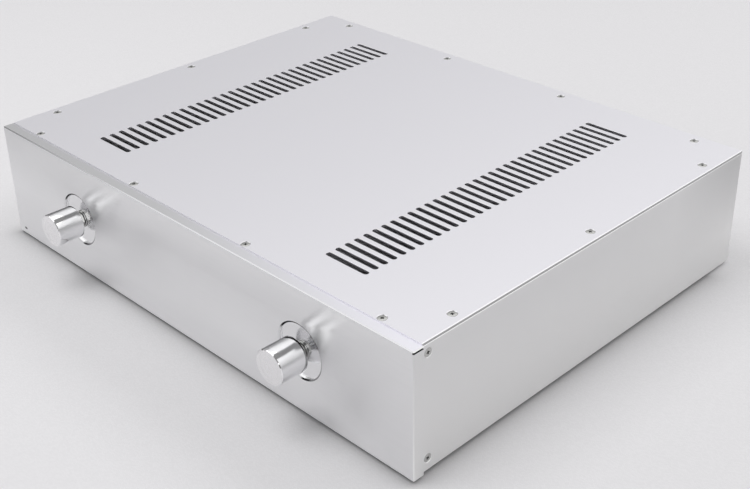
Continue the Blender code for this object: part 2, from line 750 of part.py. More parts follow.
def make_nut(name, axis, material):
    """A hexagon cut from a turned blank, whose bevels round off its corners."""
    flats = NUT_ACROSS_FLATS / 2
    corner = flats / math.cos(math.pi / 6)
    bore = BUSHING_RADIUS + THREAD_GAP
    front = NUT_BACK + NUT_THICKNESS
    profile = [
        (bore, NUT_BACK),
        (flats, NUT_BACK),
        (corner, NUT_BACK + NUT_CHAMFER),
        (corner, front - NUT_CHAMFER),
        (flats, front),
        (bore, front),
    ]
    nut = place(name, mesh_from(turned(profile, CONTROL_STEPS), name, material), axis)
    hexagon = prism(hexagon_outline(flats), NUT_THICKNESS + 2 * OVERCUT)
    lift = axis.matrix_world @ Matrix.Translation((0, 0, NUT_BACK - OVERCUT))
    return combine(nut, [cutter_of("hexagon_cutter", hexagon, [lift])], "INTERSECT")


def make_control(side, chassis, materials, grub):
    """Everything on one control's axis: what stays with the panel, and what turns with the knob."""
    axis_place = control_places()[side]
    fixed = empty_at(f"{side}_control_seat", axis_place, chassis)
    turning = empty_at(f"{side}_knob_axis", axis_place, chassis)
    bpy.context.view_layer.update()
    knob = place(f"{side}_knob", knob_mesh(f"{side}_knob", materials["polished"]), turning)
    grub_hole = GRUB_RADIUS + THREAD_GAP
    hole_profile = [(0, 0), (grub_hole, 0), (grub_hole, KNOB_RADIUS + OVERCUT), (0, KNOB_RADIUS + OVERCUT)]
    grub_drill = cutter_of("grub_drill", turned(hole_profile, SCREW_STEPS), [axis_place @ grub_place()])
    combine(knob, [grub_drill])
    place(f"{side}_knob_grub_screw", grub, turning, grub_place())
    shaft = place(f"{side}_control_shaft", shaft_mesh(f"{side}_control_shaft", materials["shaft"]), turning)
    flat = box_between(
        (-SHAFT_RADIUS - OVERCUT, -SHAFT_RADIUS - OVERCUT, KNOB_STANDOFF),
        (SHAFT_RADIUS + OVERCUT, SHAFT_FLAT - SHAFT_RADIUS, SHAFT_TIP + OVERCUT),
    )
    combine(shaft, [cutter_of("flat_cutter", flat, [axis_place])])
    can = place(f"{side}_control_body", can_mesh_blank(f"{side}_control_body", materials["can"]), fixed)
    extras = can_extras()
    for extra in extras:
        extra.matrix_world = axis_place
    combine(can, extras, "UNION")
    washer = ring_mesh(
        f"{side}_control_washer", WASHER_RADIUS, WASHER_BACK, WASHER_THICKNESS, materials["nut"]
    )
    place(f"{side}_control_washer", washer, fixed)
    make_nut(f"{side}_control_nut", fixed, materials["nut"])


def make_feet(chassis, material):
    """Four low pads near the corners of the bottom plate."""
    profile = [
        (0, FOOT_HEIGHT),
        (FOOT_RADIUS, FOOT_HEIGHT),
        (FOOT_RADIUS, FOOT_CHAMFER),
        (FOOT_RADIUS - FOOT_CHAMFER, 0),
        (0, 0),
    ]
    mesh = mesh_from(turned(profile, CONTROL_STEPS), "foot", material)
    rows = {"front": CASE_FRONT_Y + FOOT_INSET, "back": REAR_Y - FOOT_INSET}
    for row, y in rows.items():
        for side, sign in SIDES.items():
            place(f"foot_{row}_{side}", mesh, chassis, at(sign * (SIDE_X - FOOT_INSET), y, 0))


def clear_scene():
    for item in list(bpy.data.objects):
        bpy.data.objects.remove(item)


def remove_cutters():
    for item in [item for item in bpy.data.objects if item.hide_render]:
        bpy.data.objects.remove(item)


def main():
    clear_scene()
    materials = make_materials()
    drills = make_drills()
    chassis = empty_at("chassis", FACE_UP)
    make_front_panel(chassis, materials, drills)
    make_top_cover(chassis, materials, drills)
    make_bottom_plate(chassis, materials, drills)
    make_back_panel(chassis, materials, drills)
    for side in SIDES:
        make_side_panel(side, chassis, materials, drills)
    make_rails(chassis, materials, drills)
    grub = grub_mesh(materials["grub"])
    for side in SIDES:
        make_control(side, chassis, materials, grub)
    make_screws(chassis, materials)
    make_feet(chassis, materials["rubber"])
    remove_cutters()


main()
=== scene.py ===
# %% [markdown]
# # Finishing an amplifier chassis
#
# The chassis is bare aluminium: a thick brushed front panel with two turned knobs, a blasted
# cover with ventilation slots, and satin sides. The CAD solids fix where everything is. This
# lesson gives each surface the finish that its machining leaves, remakes the pieces whose
# roundness or small edges show, and lights the whole softly.

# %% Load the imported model
import json
import math

import bmesh
import bpy
from mathutils import Matrix, Vector

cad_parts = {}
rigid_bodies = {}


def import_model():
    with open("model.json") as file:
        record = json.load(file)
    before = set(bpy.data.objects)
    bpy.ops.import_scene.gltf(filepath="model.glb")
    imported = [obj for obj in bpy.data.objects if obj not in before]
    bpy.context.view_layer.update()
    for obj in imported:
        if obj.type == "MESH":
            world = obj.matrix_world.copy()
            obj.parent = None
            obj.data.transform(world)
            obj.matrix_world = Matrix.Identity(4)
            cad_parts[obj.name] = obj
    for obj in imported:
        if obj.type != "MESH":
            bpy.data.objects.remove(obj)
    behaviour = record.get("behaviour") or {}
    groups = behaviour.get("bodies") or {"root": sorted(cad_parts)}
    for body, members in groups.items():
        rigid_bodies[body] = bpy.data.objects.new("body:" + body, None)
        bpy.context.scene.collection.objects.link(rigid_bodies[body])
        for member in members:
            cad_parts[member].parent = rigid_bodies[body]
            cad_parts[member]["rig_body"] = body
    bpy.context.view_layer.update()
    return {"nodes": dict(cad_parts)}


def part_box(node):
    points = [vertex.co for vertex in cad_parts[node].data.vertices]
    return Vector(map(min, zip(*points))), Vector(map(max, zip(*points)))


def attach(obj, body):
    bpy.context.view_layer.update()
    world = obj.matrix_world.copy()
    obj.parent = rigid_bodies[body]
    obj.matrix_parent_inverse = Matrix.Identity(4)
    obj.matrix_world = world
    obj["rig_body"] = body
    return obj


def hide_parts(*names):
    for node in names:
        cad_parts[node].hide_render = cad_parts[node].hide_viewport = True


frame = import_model()
nodes = frame["nodes"]

# %% [markdown]
# ## Camera
#
# The view is from the front right and above. The place, angle and lens were fitted to the edges,
# screw heads and slots that the photograph shows, so the numbers are used as they are. The frame
# is cut from the lower part of a larger picture, which a small vertical shift of the lens
# repeats. A camera could be aimed with a constraint, but three axes worked out here from two
# angles and a roll say exactly what was fitted.

# %% Work out the camera's axes
AZIMUTH = math.radians(45.668)
ELEVATION = math.radians(27.884)
ROLL = math.radians(-1.094)

forward = Vector((
    -math.sin(AZIMUTH) * math.cos(ELEVATION),
    math.cos(AZIMUTH) * math.cos(ELEVATION),
    -math.sin(ELEVATION),
))
level_right = Vector((math.cos(AZIMUTH), math.sin(AZIMUTH), 0))
level_up = level_right.cross(forward)
right = math.cos(ROLL) * level_right + math.sin(ROLL) * level_up
up = right.cross(forward)
print("the camera looks along", [round(part, 3) for part in forward])

# %% Place the camera
EYE = Vector((0.5858, -0.5469, 0.4684))
FOCAL_PIXELS = 1214.3
FRAME_WIDTH = 750  # pixels
SENSOR_WIDTH = 36  # mm
SHIFT_Y = -0.0587  # in widths of the frame

camera_data = bpy.data.cameras.new("camera")
camera_data.sensor_fit = "HORIZONTAL"
camera_data.sensor_width = SENSOR_WIDTH
camera_data.lens = FOCAL_PIXELS / FRAME_WIDTH * SENSOR_WIDTH
camera_data.shift_y = SHIFT_Y
camera = bpy.data.objects.new("camera", camera_data)
bpy.context.scene.collection.objects.link(camera)
turn = Matrix((right, up, -forward)).transposed()  # its columns are the camera's own axes
camera.matrix_world = Matrix.Translation(EYE) @ turn.to_4x4()
bpy.context.scene.camera = camera
bpy.context.scene.view_settings.view_transform = "Standard"
print("lens", round(camera_data.lens, 2), "mm")

# %% [markdown]
# ## Colours and nodes
#
# A colour given here is an sRGB value, while a shader works in linear light. One function
# turns the one into the other. A second function adds a node, sets its properties and feeds its
# sockets. Feeding is a function of its own, because a material's shader is there from the start
# and only needs to be fed. So each material reads as the chain of its nodes, with its shader as
# the last line.


# %% Turn a colour into light
def linear(hex_colour):
    """A hex sRGB colour as linear RGBA."""
    channels = [int(hex_colour[i : i + 2], 16) / 255 for i in (1, 3, 5)]
    return (*(c / 12.92 if c <= 0.04045 else ((c + 0.055) / 1.055) ** 2.4 for c in channels), 1)


print("mid grey is", [round(channel, 3) for channel in linear("#808080")])


# %% Add and feed a node
def feed(node, feeds):
    """Gives each of these inputs, by name or number, a value or another node's output."""
    for key, value in feeds.items():
        if isinstance(value, bpy.types.NodeSocket):
            node.id_data.links.new(value, node.inputs[key])
        else:
            node.inputs[key].default_value = value


def add(tree, kind, feeds=None, **settings):
    """Adds a node with these settings, and feeds it."""
    made = tree.nodes.new(kind)
    for name, value in settings.items():
        setattr(made, name, value)
    feed(made, feeds or {})
    return made


MM = 0.001
print("one millimetre is", MM, "in the frame's metres")

# %% [markdown]
# ## The table
#
# The chassis stands on pale woven cloth that fills the picture. The weave could be modelled
# thread by thread, but from a metre away a brick pattern of three near-white tones does as well.
#
# Close to the case the cloth gets darker, because the case hides the light from it. The lamps
# alone make that shade too faint, so the cloth's own colour adds to it, over a few millimetres
# from the case's outline. The distance to a rectangle takes four steps: fold the plane onto one
# quarter, take away half the rectangle's size, keep what is left over, and measure its length.
# Only the camera sees the shade. The polished metal mirrors the cloth without it.

# %% Lay the cloth
CLOTH_HALF = 4.0  # metres

cloth_mesh = bpy.data.meshes.new("table_cloth")
bm = bmesh.new()
bmesh.ops.create_grid(bm, x_segments=1, y_segments=1, size=CLOTH_HALF)
bm.to_mesh(cloth_mesh)
bm.free()
cloth = bpy.data.objects.new("table_cloth", cloth_mesh)
bpy.context.scene.collection.objects.link(cloth)
print("cloth", 2 * CLOTH_HALF, "m square")

# %% Weave it
THREAD = 1.6 * MM  # drawn coarser than the real 0.3 mm, which the picture can't hold

# matt and even, with hardly any sheen
cloth_material = bpy.data.materials.new("woven_white_cloth")
cloth_material.use_nodes = True
tree = cloth_material.node_tree
shader = tree.nodes["Principled BSDF"]
place = add(tree, "ShaderNodeTexCoord").outputs["Object"]
weave = add(tree, "ShaderNodeTexBrick", {
    "Vector": place, "Color1": linear("#E9E8EA"), "Color2": linear("#E4E3E5"),
    "Mortar": linear("#E1E0E2"), "Scale": 1 / THREAD, "Mortar Size": 0.05, "Brick Width": 1.0,
    "Row Height": 0.5,
}).outputs["Color"]
feed(shader, {"Roughness": 0.95, "Specular IOR Level": 0.1})
cloth_mesh.materials.append(cloth_material)
print(round(MM / THREAD, 2), "threads to a millimetre")

# %% Shade it close to the case
SHADE_DEPTH = 0.42
SHADE_REACH = 8 * MM  # where the shade has fallen to a third
SHADE_MIDDLE = (0, -0.002, 0)
SHADE_HALF = (0.2135, 0.156, 0)  # the case, drawn in at the back, where the cloth is lighter

outside = place
for step, other in (
    ("SUBTRACT", SHADE_MIDDLE), ("ABSOLUTE", (0, 0, 0)),
    ("SUBTRACT", SHADE_HALF), ("MAXIMUM", (0, 0, 0)),
):
    outside = add(tree, "ShaderNodeVectorMath", {0: outside, 1: other}, operation=step).outputs[0]
distance = add(tree, "ShaderNodeVectorMath", {0: outside}, operation="LENGTH").outputs["Value"]
fading = add(tree, "ShaderNodeMath", {
    0: distance, 1: -1 / SHADE_REACH,
}, operation="MULTIPLY").outputs[0]
near = add(tree, "ShaderNodeMath", {0: fading}, operation="EXPONENT").outputs[0]
seen = add(tree, "ShaderNodeLightPath").outputs["Is Camera Ray"]
shade = add(tree, "ShaderNodeMath", {0: near, 1: seen}, operation="MULTIPLY").outputs[0]
shade = add(tree, "ShaderNodeMath", {0: shade, 1: SHADE_DEPTH}, operation="MULTIPLY").outputs[0]
shaded = add(tree, "ShaderNodeMix", {
    "Factor": shade, "A": weave, "B": linear("#000000"),
}, data_type="RGBA")
feed(shader, {"Base Color": shaded.outputs["Result"]})
print("shade reaches", SHADE_REACH / MM, "mm")

# %% [markdown]
# ## The light tent
#
# The chassis is lit in a white tent. Matt surfaces only need its plain white. Polished metal is
# a mirror, though, and shows the tent itself: walls that get lighter higher up and to the right,
# two bright windows in front of the case with a dark gap between them overhead, a dark opening
# low on the left, and a dark strip low on the right. They are the bands along the knobs.
#
# The tent could be modelled as cloth panels round the case. A drawn world is easier to match,
# because each edge is one number. So the world has two parts, plain white for everything matt
# and the drawn tent for glossy rays.

# %% Directions in the tent
world = bpy.data.worlds.new("light_tent")
bpy.context.scene.world = world
world.use_nodes = True
tree = world.node_tree
tree.nodes.clear()
direction = add(tree, "ShaderNodeTexCoord").outputs["Generated"]
towards = add(tree, "ShaderNodeSeparateXYZ", {0: direction}).outputs
OPEN = 1.1  # a direction's parts end at 1, so a band up to here has no edge on that side
print("world", world.name)


# %% Edges of a panel of light
def band(value, low, high, soft):
    """1 where the value lies between low and high, fading over soft on each side."""
    rise = add(tree, "ShaderNodeMapRange", {
        "Value": value, "From Min": low - soft, "From Max": low + soft,
    }, interpolation_type="SMOOTHSTEP").outputs[0]
    fall = add(tree, "ShaderNodeMapRange", {
        "Value": value, "From Min": high - soft, "From Max": high + soft,
        "To Min": 1.0, "To Max": 0.0,
    }, interpolation_type="SMOOTHSTEP").outputs[0]
    return overlap(rise, fall)


def overlap(*masks):
    """1 where every mask is 1."""
    both = masks[0]
    for mask in masks[1:]:
        both = add(tree, "ShaderNodeMath", {0: both, 1: mask}, operation="MULTIPLY").outputs[0]
    return both


def darken(light, mask, amount):
    """The light with this share of it taken away where the mask is 1."""
    kept = add(tree, "ShaderNodeMath", {
        0: mask, 1: -amount, 2: 1.0,
    }, operation="MULTIPLY_ADD").outputs[0]
    return overlap(light, kept)


in_front = band(towards["Y"], -OPEN, 0.05, 0.05)
print("bands can be drawn on", towards.keys())

# %% Walls and windows
WALL_LEVEL = 0.58
WALL_RISE = 1.46  # more light higher up
WALL_SIDE = 0.74  # more light to the right
WALL_DARKEST = 0.45
WALL_BRIGHTEST = 1.3
WINDOW_LEVEL = 1.32
WINDOW_SIDES = ((-0.80, -0.16), (0.42, 0.84))  # from left to right
WINDOW_SILL = 0.20

risen = add(tree, "ShaderNodeMath", {
    0: towards["Z"], 1: WALL_RISE, 2: WALL_LEVEL,
}, operation="MULTIPLY_ADD").outputs[0]
sloped = add(tree, "ShaderNodeMath", {
    0: towards["X"], 1: WALL_SIDE, 2: risen,
}, operation="MULTIPLY_ADD").outputs[0]
tent = add(tree, "ShaderNodeClamp", {
    "Value": sloped, "Min": WALL_DARKEST, "Max": WALL_BRIGHTEST,
}).outputs[0]
above_sill = band(towards["Z"], WINDOW_SILL, OPEN, 0.06)
for low, high in WINDOW_SIDES:
    window = overlap(band(towards["X"], low, high, 0.03), in_front, above_sill)
    lit = add(tree, "ShaderNodeMath", {0: window, 1: WINDOW_LEVEL}, operation="MULTIPLY").outputs[0]
    tent = add(tree, "ShaderNodeMath", {0: tent, 1: lit}, operation="MAXIMUM").outputs[0]
print(len(WINDOW_SIDES), "windows")

# %% Dark openings
OPENING_DARK = 0.80
STRIP_DARK = 0.9

low_left = overlap(
    band(towards["X"], -OPEN, -0.5, 0.03), band(towards["Z"], -OPEN, 0.12, 0.05), in_front)
overhead_gap = overlap(
    band(towards["X"], -0.12, 0.38, 0.02), band(towards["Y"], -OPEN, 0.68, 0.03))
low_right = overlap(
    band(towards["X"], 0.4, OPEN, 0.1), band(towards["Z"], -OPEN, 0.24, 0.04))
openings = add(tree, "ShaderNodeMath", {
    0: low_left, 1: overhead_gap,
}, operation="MAXIMUM").outputs[0]
tent = darken(tent, openings, OPENING_DARK)
tent = darken(tent, low_right, STRIP_DARK)
print("the openings keep", round(1 - OPENING_DARK, 2), "of the light")

# %% Plain white for matt surfaces, the tent for mirrors
PLAIN_LIGHT = 0.60

rays = add(tree, "ShaderNodeLightPath").outputs
strength = add(tree, "ShaderNodeMix", {
    "Factor": rays["Is Glossy Ray"], "A": PLAIN_LIGHT, "B": tent,
}, data_type="FLOAT").outputs[0]
background = add(tree, "ShaderNodeBackground", {"Color": linear("#FFFFFF"), "Strength": strength})
add(tree, "ShaderNodeOutputWorld", {"Surface": background.outputs[0]})
print("plain light", PLAIN_LIGHT)

# %% [markdown]
# ## The lamps
#
# The tent's light has no direction, so on its own it leaves a case without a shadow. Two large
# square lamps above the cloth, one in front on the left and one behind on the right, give soft
# shadows and the last of the brightness. Each is given as the share of white light that reaches
# the cloth right below it, which is easier to balance than watts. The metal doesn't mirror them.


# %% Hang the lamps
def softbox(name, place, size, share):
    """A square lamp that adds this share of white light to the cloth right below it."""
    data = bpy.data.lights.new(name, "AREA")
    data.shape = "SQUARE"
    data.size = size
    data.energy = share * math.pi**2 * place[2] ** 2  # light thins out with the height squared
    lamp = bpy.data.objects.new(name, data)
    lamp.location = place
    lamp.visible_glossy = False
    bpy.context.scene.collection.objects.link(lamp)
    print(name, round(data.energy, 1), "W")


softbox("front_softbox", (-0.5, -0.6, 1.8), 1.2, 0.41)
softbox("back_softbox", (1.1, 1.7, 2.0), 1.2, 0.50)

# %% [markdown]
# ## Finishes
#
# Nearly every finish here is aluminium or steel, so the metal's colour hardly differs. What
# tells them apart is how the surface was cut. Brushing leaves long scratches that blur
# a reflection across them, blasting leaves a fine grain that blurs it every way, turning leaves
# rings, and a polished or diamond-cut face stays a mirror. Each finish starts the same way, with
# a material, its shader and its place on the object, so one function does that.

# %% Start a material
finishes = {}


def start_finish(slot, name, metallic=1.0):
    """A material for a slot of the record: its tree, its shader and its object coordinates."""
    material = bpy.data.materials.new(name)
    material.use_nodes = True
    finishes[slot] = material
    tree = material.node_tree
    shader = tree.nodes["Principled BSDF"]
    feed(shader, {"Metallic": metallic})
    return tree, shader, add(tree, "ShaderNodeTexCoord").outputs["Object"]


GRAIN = 0.5 * MM  # drawn coarser than the real 0.1 mm, which the picture can't hold
print("grain", GRAIN / MM, "mm")

# %% [markdown]
# ### Brushed front panel
#
# A belt was run along the panel, so its scratches are a few centimetres long and hair-thin. They
# could be drawn as lines, but real scratches start and stop anywhere, which stretched noise
# gives at once. The same noise drives their depth, how rough they are, and a slight change of
# tone. The tangent is set across the scratches, so that reflections blur up and down.

# %% Brush the aluminium
SCRATCH_LENGTH = 60 * MM
SCRATCH_WIDTH = 0.45 * MM  # drawn coarser than the real 0.05 to 0.1 mm, which is finer than a pixel

# silky, with soft upright streaks
tree, shader, place = start_finish("brushed_panel", "brushed_aluminium")
stretched = add(tree, "ShaderNodeMapping", {
    "Vector": place, "Scale": (1 / SCRATCH_LENGTH, 1 / SCRATCH_WIDTH, 1 / SCRATCH_WIDTH),
}).outputs[0]
scratches = add(tree, "ShaderNodeTexNoise", {
    "Vector": stretched, "Scale": 1.0, "Detail": 4.0, "Roughness": 0.6,
}).outputs["Fac"]
brushed = add(tree, "ShaderNodeMix", {
    "Factor": scratches, "A": linear("#EAEAEB"), "B": linear("#F1F1F2"),
}, data_type="RGBA").outputs["Result"]
rough = add(tree, "ShaderNodeMapRange", {
    "Value": scratches, "To Min": 0.27, "To Max": 0.34,
}).outputs[0]
across = add(tree, "ShaderNodeCombineXYZ", {"Y": 1.0, "Z": 1.0}).outputs[0]
dents = add(tree, "ShaderNodeBump", {
    "Height": scratches, "Strength": 0.03, "Distance": 0.02 * MM,
}).outputs[0]
feed(shader, {"Roughness": rough, "Anisotropic": 0.85, "Tangent": across, "Normal": dents})
print("scratches", round(SCRATCH_LENGTH / SCRATCH_WIDTH), "times as long as wide")

# %% [markdown]
# The panel's upper left corner gets a painted shade, a little darker where it mirrors less
# light. Low on the left there is also a small dark nick, not deep enough for geometry. So both
# are changes of tone: the corner where two ramps meet, the nick within a flat ellipse.

# %% Darken the corner with painted shade, and add the nick
CORNER_ACROSS = (-0.05, -0.20)  # where the painted shade starts, and where it is darkest
CORNER_UP = (0.045, 0.09)
NICK = Vector((-0.2059, 0, 0.0065))
NICK_HALF_WIDTH = 2.2 * MM
NICK_HALF_HEIGHT = 1.2 * MM

parts = add(tree, "ShaderNodeSeparateXYZ", {0: place}).outputs
leftward = add(tree, "ShaderNodeMapRange", {
    "Value": parts["X"], "From Min": CORNER_ACROSS[0], "From Max": CORNER_ACROSS[1],
}).outputs[0]
upward = add(tree, "ShaderNodeMapRange", {
    "Value": parts["Z"], "From Min": CORNER_UP[0], "From Max": CORNER_UP[1],
}).outputs[0]
corner = add(tree, "ShaderNodeMath", {0: leftward, 1: upward}, operation="MULTIPLY").outputs[0]
# painted shade: the upper left corner is darkened
tone = add(tree, "ShaderNodeMix", {
    "Factor": corner, "A": brushed, "B": linear("#DADADB"),
}, data_type="RGBA").outputs["Result"]
to_nick = add(tree, "ShaderNodeVectorMath", {0: place, 1: NICK}, operation="SUBTRACT").outputs[0]
flattened = add(tree, "ShaderNodeVectorMath", {
    0: to_nick, 1: (1 / NICK_HALF_WIDTH, 0, 1 / NICK_HALF_HEIGHT),
}, operation="MULTIPLY").outputs[0]
from_nick = add(tree, "ShaderNodeVectorMath", {0: flattened}, operation="LENGTH").outputs["Value"]
in_nick = add(tree, "ShaderNodeMapRange", {
    "Value": from_nick, "From Min": 0.5, "From Max": 1.1, "To Min": 0.95, "To Max": 0.0,
}).outputs[0]
tone = add(tree, "ShaderNodeMix", {
    "Factor": in_nick, "A": tone, "B": linear("#3C3C3D"),
}, data_type="RGBA").outputs["Result"]
feed(shader, {"Base Color": tone})
print("nick at", [round(part / MM, 1) for part in NICK], "mm")

# %% [markdown]
# ### Bevel of the front panel
#
# The long edges were bevelled with a diamond cutter before the panel was brushed. Its tone is
# painted: a painted highlight makes the bevel a bright line on the right, and a painted shade a
# dark one on the left. One material with a tone that follows the length does both.

# %% Cut the panel's bevel
# a thin, sharp line of painted light, with painted shade on the left
tree, shader, place = start_finish("panel_bevel", "diamond_cut_panel_bevel_with_painted_light")
along = add(tree, "ShaderNodeSeparateXYZ", {0: place}).outputs["X"]
painted_highlight = add(tree, "ShaderNodeMapRange", {
    "Value": along, "From Min": -0.20, "From Max": -0.05,
}).outputs[0]
# painted shade on the left, painted highlight on the right
tone = add(tree, "ShaderNodeMix", {
    "Factor": painted_highlight, "A": linear("#98989A"), "B": linear("#D0D0D2"),
}, data_type="RGBA").outputs["Result"]
grain = add(tree, "ShaderNodeTexNoise", {
    "Vector": place, "Scale": 1 / GRAIN, "Detail": 2.0,
}).outputs["Fac"]
rough = add(tree, "ShaderNodeMapRange", {"Value": grain, "To Min": 0.20, "To Max": 0.30}).outputs[0]
feed(shader, {"Base Color": tone, "Roughness": rough})
print("finishes so far", len(finishes))

# %% [markdown]
# ### Top of the front panel
#
# The 8 mm strip along the panel's top was blasted, not brushed. Its tone is painted light and
# shade: a painted shade makes it greyer on the left, and painted light gives it the cover's cool
# white to the right. A blasted surface could be given a bump, but on so narrow a strip only its
# blur shows.

# %% Blast the panel's top
# even and slightly silvery
tree, shader, place = start_finish("panel_top", "blasted_panel_edge_with_painted_light")
along = add(tree, "ShaderNodeSeparateXYZ", {0: place}).outputs["X"]
painted_light_share = add(tree, "ShaderNodeMapRange", {
    "Value": along, "From Min": -0.02, "From Max": 0.22,
}).outputs[0]
# painted shade on the left, painted light on the right
tone = add(tree, "ShaderNodeMix", {
    "Factor": painted_light_share, "A": linear("#D4D4D6"), "B": linear("#F1F0F7"),
}, data_type="RGBA").outputs["Result"]
grain = add(tree, "ShaderNodeTexNoise", {
    "Vector": place, "Scale": 1 / GRAIN, "Detail": 3.0,
}).outputs["Fac"]
rough = add(tree, "ShaderNodeMapRange", {"Value": grain, "To Min": 0.30, "To Max": 0.38}).outputs[0]
feed(shader, {"Base Color": tone, "Roughness": rough})
print("finishes so far", len(finishes))

# %% [markdown]
# ### Cover
#
# The cover was blasted with fine beads and then anodised, which leaves a faint, cool, even white
# without any direction. One noise at the size of the grain drives its tone, its roughness and
# a shallow bump, so that the three agree as they do on real metal.

# %% Blast and anodise the cover
# a soft cool white
tree, shader, place = start_finish("blasted_cover", "blasted_anodised_aluminium")
grain = add(tree, "ShaderNodeTexNoise", {
    "Vector": place, "Scale": 1 / GRAIN, "Detail": 3.0, "Roughness": 0.6,
}).outputs["Fac"]
tone = add(tree, "ShaderNodeMix", {
    "Factor": grain, "A": linear("#E9E8ED"), "B": linear("#F1F0F5"),
}, data_type="RGBA").outputs["Result"]
rough = add(tree, "ShaderNodeMapRange", {"Value": grain, "To Min": 0.36, "To Max": 0.44}).outputs[0]
dents = add(tree, "ShaderNodeBump", {
    "Height": grain, "Strength": 0.1, "Distance": 0.02 * MM,
}).outputs[0]
feed(shader, {"Base Color": tone, "Roughness": rough, "Normal": dents})
print("finishes so far", len(finishes))

# %% [markdown]
# ### Sides and back
#
# The sides have a plain satin finish, etched rather than brushed, so there are no lines in it.
# They get painted light toward the bottom and a painted shade at the upper rear corner. Ramps
# along the object's own axes give both.

# %% Etch the sides, with painted light and shade
PAINTED_LIGHT_DOWN = (0.08, 0.0)  # where the plate starts to get lighter, and where it is lightest
PAINTED_SHADE_BACK = (0.10, 0.17)
PAINTED_SHADE_UP = (0.03, 0.085)

# a quiet grey that mirrors nothing sharply
tree, shader, place = start_finish("satin_case", "satin_aluminium")
grain = add(tree, "ShaderNodeTexNoise", {
    "Vector": place, "Scale": 1 / GRAIN, "Detail": 3.0, "Roughness": 0.5,
}).outputs["Fac"]
parts = add(tree, "ShaderNodeSeparateXYZ", {0: place}).outputs
painted_light_below = add(tree, "ShaderNodeMapRange", {
    "Value": parts["Z"], "From Min": PAINTED_LIGHT_DOWN[0], "From Max": PAINTED_LIGHT_DOWN[1],
}).outputs[0]
backward = add(tree, "ShaderNodeMapRange", {
    "Value": parts["Y"], "From Min": PAINTED_SHADE_BACK[0], "From Max": PAINTED_SHADE_BACK[1],
}).outputs[0]
upward = add(tree, "ShaderNodeMapRange", {
    "Value": parts["Z"], "From Min": PAINTED_SHADE_UP[0], "From Max": PAINTED_SHADE_UP[1],
}).outputs[0]
corner = add(tree, "ShaderNodeMath", {0: backward, 1: upward}, operation="MULTIPLY").outputs[0]
tone = add(tree, "ShaderNodeMix", {
    "Factor": grain, "A": linear("#DDDDDD"), "B": linear("#E5E5E5"),
}, data_type="RGBA").outputs["Result"]
# painted light toward the bottom, painted shade at the upper rear corner
for share, end in ((painted_light_below, "#F2F2F1"), (corner, "#CACACA")):
    tone = add(tree, "ShaderNodeMix", {
        "Factor": share, "A": tone, "B": linear(end),
    }, data_type="RGBA").outputs["Result"]
rough = add(tree, "ShaderNodeMapRange", {"Value": grain, "To Min": 0.32, "To Max": 0.40}).outputs[0]
feed(shader, {"Base Color": tone, "Roughness": rough})
print("finishes so far", len(finishes))

# %% [markdown]
# ### Plates and rails inside
#
# The bottom plate and the rails keep the finish that the rolling mill gave them, with long faint
# marks along the sheet. Like the brushing it is stretched noise, only wider and flatter.

# %% Roll the plates
MARK_WIDTH = 3 * MM  # real roll marks are about as wide
MARK_LENGTH = 120 * MM

# a cloudy, streaked grey
tree, shader, place = start_finish("mill_aluminium", "mill_finish_aluminium")
stretched = add(tree, "ShaderNodeMapping", {
    "Vector": place, "Scale": (1 / MARK_LENGTH, 1 / MARK_WIDTH, 1 / MARK_WIDTH),
}).outputs[0]
marks = add(tree, "ShaderNodeTexNoise", {
    "Vector": stretched, "Scale": 1.0, "Detail": 4.0,
}).outputs["Fac"]
tone = add(tree, "ShaderNodeMix", {
    "Factor": marks, "A": linear("#C2C2C3"), "B": linear("#CFCFD0"),
}, data_type="RGBA").outputs["Result"]
rough = add(tree, "ShaderNodeMapRange", {"Value": marks, "To Min": 0.28, "To Max": 0.42}).outputs[0]
feed(shader, {"Base Color": tone, "Roughness": rough})
print("finishes so far", len(finishes))

# %% [markdown]
# ### Sheared edges, and painted shadow in cuts
#
# The cover's edge was sheared and left as it was, so it is torn and mirrors next to nothing. The
# narrow groove at the top of the panel's two ends and the screws' cross recesses get a painted
# shadow, a dark tone. For both only the tone varies, and their roughness is one number.

# %% Shear, and paint shadow into the cuts
for slot, name, dark, light, roughness in (
    ("sheared_edge", "sheared_aluminium_edge", "#AEAEAE", "#C2C2C2", 0.5),  # dull grey
    ("shadow_line", "dark_saw_cut", "#2E2E30", "#464648", 0.6),  # painted shadow in the grooves and the cross recesses
):
    tree, shader, place = start_finish(slot, name)
    grain = add(tree, "ShaderNodeTexNoise", {
        "Vector": place, "Scale": 1 / GRAIN, "Detail": 3.0,
    }).outputs["Fac"]
    tone = add(tree, "ShaderNodeMix", {
        "Factor": grain, "A": linear(dark), "B": linear(light),
    }, data_type="RGBA").outputs["Result"]
    feed(shader, {"Base Color": tone, "Roughness": roughness})
print("finishes so far", len(finishes))

# %% [markdown]
# ### Small hardware
#
# Bright-cut edges, plated screws, the controls' pressed cans and their nuts have one colour
# each. What differs is how evenly they shine, which depends on the size of their grain. Five
# rows of a table say that as well as five cells would. All the grains are finer than a pixel on
# the real pieces, and are drawn about five times as coarse.

